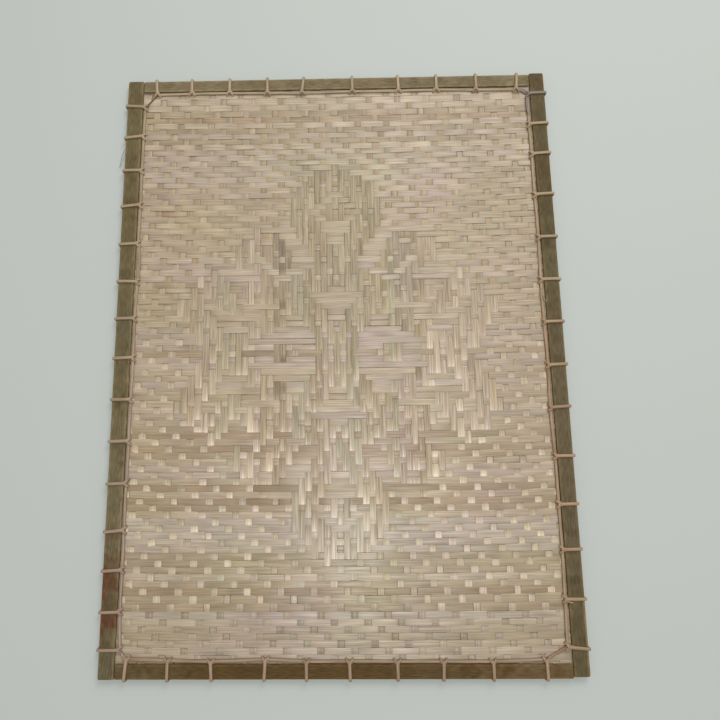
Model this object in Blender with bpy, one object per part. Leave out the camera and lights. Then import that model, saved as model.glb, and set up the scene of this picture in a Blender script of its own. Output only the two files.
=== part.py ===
"""Bamboo placemat: a woven panel of flat splints, edged with four flat bamboo slats that are lashed on with cane.

The mat lies flat. X runs across it, Y runs along it and Z is up. The origin is under its middle, on the table.
From the table up come the lashings' back bars, the panel, the slats with the cane's run beside them, and the
lashings' front bars.
"""

import math

import bmesh
import bpy
from mathutils import Matrix, Vector

MM = 0.001

# The whole mat, measured over the outer edges of its slats.
MAT_WIDTH = 310 * MM
MAT_LENGTH = 420 * MM

# Thicknesses, and the small space that touching pieces keep.
GAP = 0.3 * MM
PANEL_THICK = 1.2 * MM
SLAT_THICK = 2.0 * MM
CANE_WIDTH = 2.1 * MM
CANE_THICK = 1.2 * MM
CANE_FLAT = 0.6  # the share of the cane's width that is flat, between its rounded edges

# Heights, from the table up.
PANEL_BOTTOM = CANE_THICK + GAP
PANEL_TOP = PANEL_BOTTOM + PANEL_THICK
SLAT_BOTTOM = PANEL_TOP + GAP
SLAT_TOP = SLAT_BOTTOM + SLAT_THICK
MAT_TOP = SLAT_TOP + GAP + CANE_THICK

PANEL_INSET = 0.5 * MM  # the panel ends this far inside the slats' outer edges
SLAT_EDGE = (0.9 * MM, 0.45 * MM)  # the pared edge of a slat's face: across it, and down
BUTT_SLIT = 0.5 * MM  # the slit where an end slat meets a side slat
LEG_CORNER = 0.7 * MM  # how much a loop's corners are cut off
KNOT_SIZE = (3.4 * MM, 2.9 * MM, 3.0 * MM)  # along the edge, across it, and up
KNOT_SIDES = 6
KNOT_RINGS = 4
KNOT_LIFT = 1.6 * MM  # from the slat's underside to the knot's middle
HOLE_DEPTH = 4 * MM  # taller than the panel, so that the lashing holes go right through

# The four sides, clockwise from above. Each is built as if it were the far side, where u runs along it to the
# right and v points outward, and is then turned to its place. In millimetres, at a side's start and its end:
# outer is how far the slat's outer edge lies inside the mat's size, width is the slat's width, and short is how
# far a side slat stops before the corner. An end slat has no short, because it fits between the side slats.
SIDES = {
    "top": dict(turn=0, outer=(0.0, 0.7), width=(8.6, 9.0), short=None),
    "right": dict(turn=-90, outer=(0.0, 0.0), width=(10.4, 10.0), short=(0.0, 1.2)),
    "bottom": dict(turn=180, outer=(0.0, 0.0), width=(8.6, 9.2), short=None),
    "left": dict(turn=90, outer=(0.0, 0.0), width=(10.4, 11.4), short=(0.0, 0.0)),
}
ORDER = ("top", "right", "bottom", "left")

# The lashing's stitches on each side, in millimetres. at is the stitch's distance from the corner where the
# side starts, lean is how much further along its outer end lies, and run is how far the cane's run lies from
# the slat's inner edge there.
STITCHES = {
    "top": dict(
        at=(22.1, 48.0, 76.4, 104.6, 130.5, 168.0, 202.3, 230.5, 259.8, 289.5),
        lean=(-0.8, 0.0, 0.0, 0.0, 1.3, 0.0, -0.3, 0.0, 0.0, 0.7),
        run=(1.8, 1.4, 1.4, 1.9, 2.2, 1.7, 1.9, 1.5, 2.1, 2.3),
    ),
    "right": dict(
        at=(16.4, 41.0, 64.8, 96.4, 128.6, 159.8, 190.4, 220.7, 249.8, 282.2, 313.5, 342.1, 372.5, 401.1),
        lean=(-0.3, -0.5, -0.7, -0.5, -0.3, 0.0, -0.2, -0.5, -0.8, -0.2, -0.3, -0.3, 0.0, 1.3),
        run=(1.6, 2.2, 2.0, 2.0, 1.6, 2.2, 2.0, 1.6, 2.2, 1.4, 1.4, 1.4, 1.9, 2.6),
    ),
    "bottom": dict(
        at=(26.6, 59.9, 90.9, 119.9, 150.2, 177.4, 203.5, 238.2, 265.6, 292.1),
        lean=(0.0, 0.0, 0.4, 0.0, -0.3, 0.0, 0.6, -0.7, 0.0, 0.8),
        run=(2.6, 1.4, 1.4, 1.4, 1.5, 1.4, 2.6, 1.4, 2.1, 3.0),
    ),
    "left": dict(
        at=(17.7, 40.8, 66.8, 91.9, 122.4, 150.5, 178.7, 208.0, 236.1, 262.8, 291.4, 320.9, 347.8, 375.1, 398.9),
        lean=(0.0, -0.3, -0.8, -1.0, -0.5, -0.3, 0.0, -0.5, -0.3, 0.3, -0.7, -1.3, 0.0, -1.3, 0.8),
        run=(2.6, 1.5, 1.6, 1.5, 1.4, 1.6, 1.6, 1.9, 1.4, 2.2, 1.4, 1.5, 1.4, 1.4, 1.7),
    ),
}
# How wide the cane is where it cuts the corner to the next side.
CORNER_CANE = {"top": 2.1 * MM, "right": 1.6 * MM, "bottom": 2.0 * MM, "left": 1.1 * MM}


def clear_scene():
    for thing in list(bpy.data.objects):
        bpy.data.objects.remove(thing, do_unlink=True)


def material(name, colour, roughness):
    mat = bpy.data.materials.new(name)
    mat.use_nodes = True
    shader = mat.node_tree.nodes["Principled BSDF"]
    shader.inputs["Base Color"].default_value = (*colour, 1)
    shader.inputs["Roughness"].default_value = roughness
    shader.inputs["Metallic"].default_value = 0
    return mat


def add_object(name, bm, mat=None):
    mesh = bpy.data.meshes.new(name)
    bm.to_mesh(mesh)
    bm.free()
    thing = bpy.data.objects.new(name, mesh)
    bpy.context.scene.collection.objects.link(thing)
    if mat:
        mesh.materials.append(mat)
    return thing


def helper(name, bm):
    """A shape that only cuts or joins another one."""
    thing = add_object(name, bm)
    thing.hide_render = True
    thing.display_type = "WIRE"
    return thing


def boolean(target, other, operation):
    step = target.modifiers.new(other.name, "BOOLEAN")
    step.operation = operation
    step.solver = "EXACT"
    step.object = other


def half_sizes(side):
    """Half of the mat along a side, and half of it across, from the middle to the side's outer edge."""
    along, across = (MAT_WIDTH, MAT_LENGTH) if side in ("top", "bottom") else (MAT_LENGTH, MAT_WIDTH)
    return along / 2, across / 2


def neighbours(side):
    at = ORDER.index(side)
    return ORDER[at - 1], ORDER[(at + 1) % len(ORDER)]


def turned(side):
    return Matrix.Rotation(math.radians(SIDES[side]["turn"]), 4, "Z")


def along_side(side, values, u):
    """The value at u of something that is given in millimetres at a side's two ends."""
    half, _ = half_sizes(side)
    share = (u + half) / (2 * half)
    return (values[0] + (values[1] - values[0]) * share) * MM


def outer_edge(side, u):
    _, half = half_sizes(side)
    return half - along_side(side, SIDES[side]["outer"], u)


def inner_edge(side, u):
    return outer_edge(side, u) - along_side(side, SIDES[side]["width"], u)


def stitch_places(side):
    """Each stitch's u, its lean and its run's v, in the side's own frame."""
    half, _ = half_sizes(side)
    table = STITCHES[side]
    for at, lean, run in zip(table["at"], table["lean"], table["run"]):
        u = at * MM - half
        yield u, lean * MM, inner_edge(side, u) - run * MM


def slat_ends(side):
    """The u at which a slat starts and ends. A side slat runs to the corners; an end slat fits between them."""
    half, _ = half_sizes(side)
    before, after = neighbours(side)
    if SIDES[side]["short"] is None:
        start = SIDES[before]["width"][1] * MM + BUTT_SLIT
        end = SIDES[after]["width"][0] * MM + BUTT_SLIT
    else:
        start, end = (short * MM for short in SIDES[side]["short"])
    return start - half, half - end


def slat(side, mat):
    """A flat slat: a tapered bar whose two upper long edges are pared off."""
    start, end = slat_ends(side)
    bm = bmesh.new()
    bmesh.ops.create_cube(bm, size=1)
    for vert in bm.verts:
        u = start if vert.co.x < 0 else end
        v = inner_edge(side, u) if vert.co.y < 0 else outer_edge(side, u)
        vert.co = Vector((u, v, SLAT_BOTTOM if vert.co.z < 0 else SLAT_TOP))
    pared, down = SLAT_EDGE
    middle = (SLAT_BOTTOM + SLAT_TOP) / 2
    upper = [e for e in bm.edges if all(v.co.z > middle for v in e.verts)]
    long_edges = [e for e in upper if abs(e.verts[0].co.x - e.verts[1].co.x) > (end - start) / 2]
    bmesh.ops.bevel(bm, geom=long_edges, offset=down, segments=1, profile=0.5, affect="EDGES", material=-1)
    for vert in bm.verts:  # the paring reaches further across the face than down the side
        if vert.co.z > SLAT_TOP - down / 2:
            inner, outer = inner_edge(side, vert.co.x), outer_edge(side, vert.co.x)
            vert.co.y = inner + pared if vert.co.y < (inner + outer) / 2 else outer - pared
    bm.transform(turned(side))
    return add_object("slat_" + side, bm, mat)


def sweep(bm, points, normal, wide_in_plane, width, thick, closed):
    """Cane along flat-lying points: a six-sided section, flat above and below, carried round with mitred turns.

    normal is square to the plane of the points. The cane's width lies in that plane for a run, and across it
    for a loop.
    """
    flat = CANE_FLAT * width / 2
    section = (
        (-width / 2, 0),
        (-flat, -thick / 2),
        (flat, -thick / 2),
        (width / 2, 0),
        (flat, thick / 2),
        (-flat, thick / 2),
    )
    count = len(points)
    rings = []
    for i, point in enumerate(points):
        come = point - points[i - 1] if closed or i else points[1] - point
        go = points[(i + 1) % count] - point if closed or i < count - 1 else come
        come, go = come.normalized(), go.normalized()
        ahead = (come + go).normalized()
        sideways = normal.cross(ahead) / ahead.dot(come)
        wide, high = (sideways, normal) if wide_in_plane else (normal, -sideways)
        rings.append([bm.verts.new(point + wide * a + high * b) for a, b in section])
    for ring, after in zip(rings, rings[1:] + rings[:1] if closed else rings[1:]):
        for k in range(len(section)):
            m = (k + 1) % len(section)
            bm.faces.new((ring[k], ring[m], after[m], after[k]))
    if not closed:
        bm.faces.new(rings[0][::-1])
        bm.faces.new(rings[-1])


def loop_frame(u, lean, inner, outer):
    """A loop's own place: its foot is at the run, and it is turned so that its outer end leans along the side."""
    return Matrix.Translation((u, inner, 0)) @ Matrix.Rotation(-math.atan2(lean, outer - inner), 4, "Z")


def loop(bm, u, lean, inner, outer):
    """One stitch: over the slat, round its outer edge, back under the panel and up through it beside the run."""
    reach = outer + GAP + CANE_THICK / 2 - inner
    low, high = CANE_THICK / 2, MAT_TOP - CANE_THICK / 2
    cut = LEG_CORNER
    outline = (
        (0, low + cut),
        (cut, low),
        (reach - cut, low),
        (reach, low + cut),
        (reach, high - cut),
        (reach - cut, high),
        (cut, high),
        (0, high - cut),
    )
    points = [Vector((0, v, z)) for v, z in outline]
    before = len(bm.verts)
    sweep(bm, points, Vector((1, 0, 0)), False, CANE_WIDTH, CANE_THICK, True)
    bm.verts.ensure_lookup_table()
    bmesh.ops.transform(bm, matrix=loop_frame(u, lean, inner, outer), verts=bm.verts[before:])


def knot_place(side, u, run_v):
    """A knot sits on the run, clear of the slat's inner edge."""
    clear = inner_edge(side, u) - GAP - KNOT_SIZE[1] / 2
    return Vector((u, min(run_v, clear), SLAT_BOTTOM + KNOT_LIFT))


def knot(bm, place):
    shape = Matrix.Translation(place) @ Matrix.Diagonal((*KNOT_SIZE, 1))
    bmesh.ops.create_uvsphere(bm, u_segments=KNOT_SIDES, v_segments=KNOT_RINGS, radius=0.5, matrix=shape)


def corner_end(side):
    """Where the next side's first knot lies, in this side's frame."""
    _, after = neighbours(side)
    u, _, run_v = next(stitch_places(after))
    place = knot_place(after, u, run_v)
    place.z = SLAT_BOTTOM + CANE_THICK / 2
    return turned(side).inverted() @ turned(after) @ place


def run(bm, side):
    """The cane that lies on the panel from stitch to stitch."""
    level = SLAT_BOTTOM + CANE_THICK / 2
    points = [Vector((u, run_v, level)) for u, _, run_v in stitch_places(side)]
    sweep(bm, points, Vector((0, 0, 1)), True, CANE_WIDTH, CANE_THICK, False)


def corner(bm, side):
    """The short length that cuts the corner, from the last knot to just before the next side's first one."""
    level = SLAT_BOTTOM + CANE_THICK / 2
    *_, (u, _, run_v) = stitch_places(side)
    start, end = Vector((u, run_v, level)), corner_end(side)
    end -= (end - start).normalized() * (KNOT_SIZE[0] / 2 + GAP)
    sweep(bm, [start, end], Vector((0, 0, 1)), True, CORNER_CANE[side], CANE_THICK - 2 * GAP, False)


def lashing(side, mat):
    """One side's cane, as one solid: its run, its corner length, its loops and its knots."""
    shapes = {part: bmesh.new() for part in ("run", "corner", "loops", "knots")}
    run(shapes["run"], side)
    corner(shapes["corner"], side)
    for u, lean, run_v in stitch_places(side):
        loop(shapes["loops"], u, lean, run_v, outer_edge(side, u))
        knot(shapes["knots"], knot_place(side, u, run_v))
    for bm in shapes.values():
        bm.transform(turned(side))
    whole = add_object("lashing_" + side, shapes.pop("run"), mat)
    for part, bm in shapes.items():
        boolean(whole, helper(f"{side}_{part}", bm), "UNION")
    return whole


def panel(mat):
    """The woven panel as one thin slab, with a hole beside the run for each stitch."""
    bm = bmesh.new()
    size = (MAT_WIDTH - 2 * PANEL_INSET, MAT_LENGTH - 2 * PANEL_INSET, PANEL_THICK)
    middle = Matrix.Translation((0, 0, PANEL_BOTTOM + PANEL_THICK / 2))
    bmesh.ops.create_cube(bm, size=1, matrix=middle @ Matrix.Diagonal((*size, 1)))
    slab = add_object("woven_panel", bm, mat)
    holes = bmesh.new()
    hole = Matrix.Diagonal((CANE_WIDTH + 2 * GAP, CANE_THICK + 2 * GAP, HOLE_DEPTH, 1))
    for side in ORDER:
        for u, lean, run_v in stitch_places(side):
            place = turned(side) @ loop_frame(u, lean, run_v, outer_edge(side, u)) @ middle
            bmesh.ops.create_cube(holes, size=1, matrix=place @ hole)
    boolean(slab, helper("stitch_holes", holes), "DIFFERENCE")
    return slab


def main():
    clear_scene()
    straw = material("woven_straw", (0.52, 0.42, 0.29), 0.55)
    bark = material("olive_bamboo", (0.16, 0.12, 0.06), 0.5)
    cane = material("cane", (0.45, 0.32, 0.2), 0.55)
    panel(straw)
    for side in ORDER:
        slat(side, bark)
        lashing(side, cane)


main()
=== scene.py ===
import math
import random

import bmesh
import bpy
import numpy as np
from mathutils import Matrix, Vector, noise


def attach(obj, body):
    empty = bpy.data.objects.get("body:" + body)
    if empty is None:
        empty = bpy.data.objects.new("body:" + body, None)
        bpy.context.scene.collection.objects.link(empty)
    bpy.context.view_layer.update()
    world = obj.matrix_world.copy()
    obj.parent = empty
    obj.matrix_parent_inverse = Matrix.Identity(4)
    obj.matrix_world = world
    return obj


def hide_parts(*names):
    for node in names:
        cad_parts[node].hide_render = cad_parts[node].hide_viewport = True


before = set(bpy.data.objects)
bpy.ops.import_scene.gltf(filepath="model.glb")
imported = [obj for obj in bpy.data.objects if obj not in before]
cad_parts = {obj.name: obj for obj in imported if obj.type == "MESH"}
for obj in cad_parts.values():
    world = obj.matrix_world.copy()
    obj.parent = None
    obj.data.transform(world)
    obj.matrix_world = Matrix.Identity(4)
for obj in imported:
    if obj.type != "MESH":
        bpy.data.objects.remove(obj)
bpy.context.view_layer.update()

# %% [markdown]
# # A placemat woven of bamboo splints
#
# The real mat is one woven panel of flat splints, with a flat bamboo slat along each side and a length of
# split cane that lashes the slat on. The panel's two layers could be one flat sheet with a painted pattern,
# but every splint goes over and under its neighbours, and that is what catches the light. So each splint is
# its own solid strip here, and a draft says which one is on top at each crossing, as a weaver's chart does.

MM = 0.001
MAT_WIDTH, MAT_LENGTH = 310 * MM, 420 * MM

# %% [markdown]
# ## The camera
#
# The mat is seen from almost straight above. Its four corners give the camera's place: 49 cm up, a little
# towards the near end, and tilted by 12 degrees. The picture was cropped, so a small shift moves the middle
# of the view. A turn could do that too, but it would change how the sides lean together.

# %% Place the camera
CAMERA_PLACE = (0.0002, -0.1015, 0.4902)
CAMERA_TURN = (12.01, 1.46, -0.43)  # degrees

camera_data = bpy.data.cameras.new("camera")
camera_data.lens, camera_data.sensor_width = 36, 36
camera_data.shift_x, camera_data.shift_y = 0.0536, -0.0144
camera = bpy.data.objects.new("camera", camera_data)
camera.location = CAMERA_PLACE
camera.rotation_euler = [math.radians(turn) for turn in CAMERA_TURN]
bpy.context.scene.collection.objects.link(camera)
bpy.context.scene.camera = camera
print("camera", CAMERA_PLACE)

# %% [markdown]
# ## Floor and light
#
# The floor is a plain pale table top. The light is a soft room light: a pale sky all round, one lamp above
# the near half, which gives the lengthwise splints there their sheen, and a weaker wide one beyond the far
# right corner. A picture of a room could light the mat too, but these are simple and enough.

# %% Lay the floor
FLOOR_COLOUR, FLOOR_ROUGHNESS, FLOOR_REACH = (0.585, 0.61, 0.575), 0.7, 2.5
bpy.context.scene.view_settings.view_transform = "Standard"


def shader_of(material):
    return material.node_tree.nodes["Principled BSDF"]


def plain_material(name, colour, roughness):
    material = bpy.data.materials.new(name)
    material.use_nodes = True
    shader_of(material).inputs["Base Color"].default_value = (*colour, 1)
    shader_of(material).inputs["Roughness"].default_value = roughness
    return material


floor_mesh = bmesh.new()
bmesh.ops.create_grid(floor_mesh, x_segments=1, y_segments=1, size=FLOOR_REACH)
floor_data = bpy.data.meshes.new("table_top")
floor_mesh.to_mesh(floor_data)
floor_mesh.free()
floor = bpy.data.objects.new("table_top", floor_data)
floor_data.materials.append(plain_material("pale_table", FLOOR_COLOUR, FLOOR_ROUGHNESS))
bpy.context.scene.collection.objects.link(floor)
print("floor", [round(v, 2) for v in floor.dimensions])

# %% Hang the lamps
SKY_COLOUR, SKY_STRENGTH = (0.97, 1.0, 0.97, 1), 0.36

world = bpy.data.worlds.new("room")
world.use_nodes = True
world.node_tree.nodes["Background"].inputs["Color"].default_value = SKY_COLOUR
world.node_tree.nodes["Background"].inputs["Strength"].default_value = SKY_STRENGTH
bpy.context.scene.world = world


def lamp(name, place, aim, size, power):
    data = bpy.data.lights.new(name, "AREA")
    data.shape = "DISK"
    data.size, data.energy = size, power
    thing = bpy.data.objects.new(name, data)
    thing.location = place
    thing.rotation_euler = (Vector(aim) - Vector(place)).to_track_quat("-Z", "Y").to_euler()
    bpy.context.scene.collection.objects.link(thing)
    print(name, power, "watts")


lamp("lamp_above", (0.06, -0.33, 1.9), (0, 0, 0), 0.35, 12.5)
lamp("lamp_far", (0.36, 0.8, 0.95), (0, 0, 0), 0.8, 5.5)

# %% [markdown]
# ## One tool for strips, bars and cane
#
# Splints, slats and cane are all long things with a small outline. A curve with a bevel could make them, but
# it turns its outline by rules of its own. Here a flat grid of faces is rolled round a path instead: each
# row of the grid becomes one ring, placed by its middle, its sideways direction and its upward direction.
# Every point also remembers how far across and along its strip it lies, so that the fibre can follow the
# strip.

# %% Roll a grid round a path
def new_shape():
    bm = bmesh.new()
    bm.verts.layers.float_vector.new("across_along")
    bm.verts.layers.float_color.new("tone")
    return bm


def strand(bm, stations, outline, tone, closed=False, offset=0.0, shade=None):
    """stations are rows of (middle, sideways, upward), where the last two carry the width and the thickness.

    tone is one colour, or a list with a colour, or a ring of colours, for each station. A fourth value is the
    strength of its streaks. shade lightens it at each point of the outline."""
    across_along = bm.verts.layers.float_vector["across_along"]
    tones = bm.verts.layers.float_color["tone"]
    around, rings = len(outline), len(stations)
    rows = rings if closed else rings - 1
    grid = bmesh.ops.create_grid(bm, x_segments=around, y_segments=rows, size=0.5)["verts"]
    lengths = [0.0]
    for before, after in zip(stations, stations[1:] + stations[:1]):
        lengths.append(lengths[-1] + (after[0] - before[0]).length)
    seam, ends = [], []
    for vert in grid:
        k, row = round((vert.co.x + 0.5) * around), round((vert.co.y + 0.5) * rows)
        middle, sideways, upward = stations[row % rings]
        a, b = outline[k % around]
        vert[across_along] = (a * sideways.length + offset, lengths[row] + 7 * offset, 0)
        light = shade[k % around] if shade else 1
        own = tone[row % rings] if isinstance(tone, list) else tone
        own = own[k % around] if isinstance(own, list) else own
        vert[tones] = (*(value * light for value in own[:3]), own[3] if len(own) > 3 else 1)
        vert.co = middle + sideways * a + upward * b
        if k in (0, around) or (closed and row in (0, rows)):
            seam.append(vert)
        if not closed and row in (0, rows):
            ends.append(vert)
    bmesh.ops.remove_doubles(bm, verts=seam, dist=1e-7)
    if not closed:
        edges = {e for v in ends if v.is_valid for e in v.link_edges if e.is_boundary}
        bmesh.ops.holes_fill(bm, edges=list(edges), sides=around)


# %% Turn a shape into a finished piece
SHARP_ANGLE = math.radians(35)


def finished(name, bm, material):
    """The shape as an object with its fibre map, its material and its outward faces."""
    if bm.calc_volume(signed=True) < 0:
        bmesh.ops.reverse_faces(bm, faces=bm.faces[:])
    mesh = bpy.data.meshes.new(name)
    bm.to_mesh(mesh)
    bm.free()
    values = np.empty(len(mesh.vertices) * 3)
    mesh.attributes["across_along"].data.foreach_get("vector", values)
    corners = np.empty(len(mesh.loops), dtype=np.int32)
    mesh.loops.foreach_get("vertex_index", corners)
    fibre = mesh.uv_layers.new(name="fibre")
    fibre.data.foreach_set("uv", values.reshape(-1, 3)[corners, :2].ravel())
    mesh.shade_smooth()
    mesh.set_sharp_from_angle(angle=SHARP_ANGLE)
    mesh.materials.append(material)
    thing = bpy.data.objects.new(name, mesh)
    bpy.context.scene.collection.objects.link(thing)
    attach(thing, "root")
    print(name, len(mesh.polygons), "faces")
    return thing


# %% [markdown]
# ## The draft
#
# The panel has about one splint every 4.3 mm across it and one every 4.4 mm along it. In the ground each
# crosswise splint floats over four others and goes under one, and each row's ties stand two splints further
# on than the last row's. The figure is made by lengthwise splints that float instead: a petal with an open
# ring, two side petals and two stepped lozenges. It is the same to the left and right of the middle splint,
# and to both sides of the middle row, so the chart holds one quarter only. A row of the chart lists the
# splints, counted from the middle, at which the face changes between lengthwise (first) and crosswise. A
# picture of the figure could be laid on the panel, but a chart is how a weaver keeps it.

# %% Chart the figure
CHART = {
    31: (3,), 30: (0, 1, 5), 29: (2, 3, 6), 28: (0, 1, 4, 5, 7), 27: (0, 2, 7), 26: (1, 3, 5, 6, 8),
    25: (2, 4, 8), 24: (0, 1, 3, 5, 6, 7, 8), 23: (2, 4, 8), 22: (0, 3, 5, 6, 8), 21: (0, 3, 7, 12, 13),
    20: (0, 2, 7, 10, 15),
    19: (0, 2, 6, 9, 12, 13, 16), 18: (0, 1, 5, 8, 17), 17: (0, 1, 5, 8, 17), 16: (4, 7, 12, 14, 18),
    15: (4, 7, 11, 13, 14), 14: (6, 9, 10, 12, 14, 20, 21), 13: (8, 11, 14, 19, 21), 12: (15, 18, 23),
    11: (0, 2, 16, 17, 24), 10: (0, 5, 25), 9: (0, 4, 20, 21, 26), 8: (0, 3, 10, 12, 13, 16, 20, 22, 26),
    7: (0, 2, 13, 16, 18, 21, 25), 6: (0, 2, 6, 9, 13, 20, 25), 5: (0, 1, 6, 9, 16, 20, 24),
    4: (0, 1, 5, 10, 17, 19, 24), 3: (4, 12, 23), 2: (4, 9, 10, 14, 23), 1: (4, 8, 11, 14, 22),
    0: (3, 7, 11, 16, 21),
}
MOVED_TIES = {(9, 15), (9, 16), (0, 12), (0, 13)}  # splint and row from the middle
FIRST_SPLINT, LAST_SPLINT = -34, 35
FIRST_ROW, LAST_ROW = -47, 47
TIE_EVERY, TIED_ROWS = 5, 22  # crossings from tie to tie, and the middle rows that are tied down
OUTER_SPLINT, OUTER_ROW = 15, 11  # past either of these, the figure's ties start from another row


def lengthwise_on_top(splint, row):
    """Whether the lengthwise splint is on top of this row. Nearer rows have higher numbers."""
    out, down = abs(splint), abs(row)
    changes = CHART.get(down, (0,))
    passed = sum(1 for change in changes if out >= change)
    if passed == len(changes):
        return (splint - 2 * row - 4) % TIE_EVERY == 0
    if passed % 2:
        return False
    start = 2 if out > OUTER_SPLINT or down > OUTER_ROW else 4
    tied = down < TIED_ROWS and (down - 2 * out - start) % TIE_EVERY == 0
    return tied == ((out, down) in MOVED_TIES)


crossings = (LAST_SPLINT - FIRST_SPLINT + 1) * (LAST_ROW - FIRST_ROW + 1)
print(crossings, "crossings")

# %% [markdown]
# ## Where the splints lie
#
# Hand-split bamboo is never even. Each splint gets its own width and colour, and wanders a little from its
# line. The rows are beaten closer in some places than in others, and the splints spread towards the sides.
# Both were measured against an even grid, so the tables hold pitches and drifts.

# %% Set out the lines
SPLINT_PITCH = 4.3 * MM
MIDDLE_X, MIDDLE_Y = -0.75 * MM, 0.16 * MM
NEAR_PITCHES = ((36, 4.374 * MM), (39, 5.03 * MM), (99, 4.27 * MM))
FAR_PITCHES = (
    (13, 4.18 * MM), (27, 4.49 * MM), (34, 4.23 * MM), (41, 4.37 * MM), (45, 5.08 * MM), (99, 4.6 * MM),
)
DRIFT_PLACES = (-190, -90, 0, 90, 190)  # mm along the mat
DRIFT = {
    -35: (-5.0, -5.5, -5.5, -4.5, -4.5), -26: (-2.4, -2.6, -2.9, -2.4, -2.2), -20: (0.0, 0.0, 0.0, -0.6, -0.8),
    -9: (0.0, 1.3, 1.7, 0.2, -1.0), -4: (0.4, 1.5, 0.4, 0.0, 0.2), 0: (0.5, 1.1, 0.0, 0.0, 0.0),
    4: (0.6, 1.3, -0.4, -0.2, 0.2), 9: (0.6, 0.7, 0.2, -0.1, 0.0), 16: (0.8, 0.4, 0.0, -0.1, 0.0),
    20: (1.5, 1.7, 1.6, 1.3, 1.0), 25: (2.4, 2.7, 2.7, 2.3, 1.8), 35: (2.4, 2.6, 2.6, 2.5, 2.2),
}
SHARED_LENGTH, OWN_LENGTH = 0.09, 0.05  # m, of a splint's slow and quick wander


def row_place(row):
    """The row's y in the middle of the mat. Rows count up towards the near end."""
    y, counted = 0.0, 0
    for last, pitch in NEAR_PITCHES if row > 0 else FAR_PITCHES:
        y += max(min(abs(row), last) - counted, 0) * pitch
        counted = last
    return MIDDLE_Y - y if row > 0 else MIDDLE_Y + y


def splint_place(splint, y):
    """The splint's x where it passes this y."""
    drift = [np.interp(y / MM, DRIFT_PLACES, drifts) for drifts in DRIFT.values()]
    return MIDDLE_X + splint * SPLINT_PITCH + float(np.interp(splint, list(DRIFT), drift)) * MM


def wander(which, along, size):
    """How far a splint strays from its line: a drift that its neighbours share, and one of its own."""
    shared = noise.noise(Vector((which * 0.16, along / SHARED_LENGTH, 3.7)))
    own = noise.noise(Vector((which * 5.3, along / OWN_LENGTH, 9.1)))
    return size * (0.6 * shared + 0.4 * own)


splints = range(FIRST_SPLINT, LAST_SPLINT + 1)
row_y = {row: row_place(row) for row in range(FIRST_ROW, LAST_ROW + 1)}
print("splints from x", round(splint_place(FIRST_SPLINT, 0), 4), "to", round(splint_place(LAST_SPLINT, 0), 4))
print("rows from y", round(min(row_y.values()), 4), "to", round(max(row_y.values()), 4))

# %% [markdown]
# ## How a splint bends
#
# A splint is a flat strip, about a third of a millimetre thick and springy, so a float is a low arch: it
# leaves the crossing where it dives at a slope and lifts towards its middle. A simulation could bend it, but
# every arch has the same form, so a formula draws it. Rings of the strip are close together at a dive and
# one to a crossing along the float. Each float has its own spring, roll, width and light.

# %% Bend a splint
PANEL_X, PANEL_Y = MAT_WIDTH / 2 - 0.5 * MM, MAT_LENGTH / 2 - 0.5 * MM
PANEL_MIDDLE, WEAVE_RISE, SPLINT_THICK = 2.1 * MM, 0.4 * MM, 0.32 * MM
DIVE, SHOULDER, FLOAT_BEND = 0.03, 0.62, 0.8
ARCH_BEND = 0.4  # a ring here keeps the curve after the dive round
LEAST_SPRING, MOST_SPRING = 0.8, 1.1
FLOAT_ROLL = 5  # degrees
FILL, NARROW_CHANCE, NARROW_BY = 1.05, 0.3, 0.17
LONG_FLOAT, LONG_NARROWING = 5, 0.3
LIGHT_SPREAD = 0.045
WAIST, WAIST_REACH = 0.06, 0.3  # a splint is a little narrower where it dives
rng = random.Random(4)


def lift(depth, arch):
    """How far a float has lifted at this many crossings from its nearer end, as a share of the rise."""
    return SHOULDER * min(depth / DIVE, 1) + arch * (1 - math.exp(-max(depth - DIVE, 0) / FLOAT_BEND))


def rings_of(ups, places, ends, arch):
    """The rings of one splint: place along it, height over the panel's middle, roll, width share, the float's own
    light, and the crossings to its two ends."""
    borders = [ends[0]] + [(a + b) / 2 for a, b in zip(places, places[1:])] + [ends[1]]
    rings, first = [], 0
    while first < len(ups):
        last = first
        while last + 1 < len(ups) and ups[last + 1] == ups[first]:
            last += 1
        length = last + 1 - first
        spring = rng.uniform(LEAST_SPRING, MOST_SPRING)
        roll = rng.uniform(-1, 1) ** 3 * math.radians(FLOAT_ROLL)
        fill = FILL - (NARROW_BY * rng.random() if rng.random() < NARROW_CHANCE else 0)
        fill -= LONG_NARROWING * (spring - LEAST_SPRING) if length > LONG_FLOAT else 0
        light = rng.gauss(1, LIGHT_SPREAD)
        bends = {DIVE, ARCH_BEND} if ups[first] > 0 else {DIVE}
        steps = {0.0, 0.5 * length} | {float(step) for step in range(1, length)}
        steps |= bends | {length - step for step in bends}
        for step in sorted(steps):
            cell = min(first + int(step), last)
            place = borders[cell] + (borders[cell + 1] - borders[cell]) * (first + step - cell)
            depth = min(step, length - step)
            height, narrowing = lift(depth, arch) * spring, 1 - WAIST * math.exp(-depth / WAIST_REACH)
            rings.append((place, ups[first] * height, roll, fill * narrowing, light, step, length - step))
        first = last + 1
    rings.append((ends[1], 0.0, 0.0, 1.0, 1.0, 0.0, 0.0))
    return rings


print("the middle of a float over four lifts", round(lift(2, 0.8), 2), "of the rise")

# %% [markdown]
# ## Colour by place
#
# Each real splint changes along its length: it has pale and dark patches, and a few have dark or rusty
# stains. Whole parts of the mat share a tint too. A painted picture would hold all that, but a few named
# places hold what the eye sees. So a splint's tone is moved towards a zone's or a stain's tint where it
# passes there, and soft noise does the patches.

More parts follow.
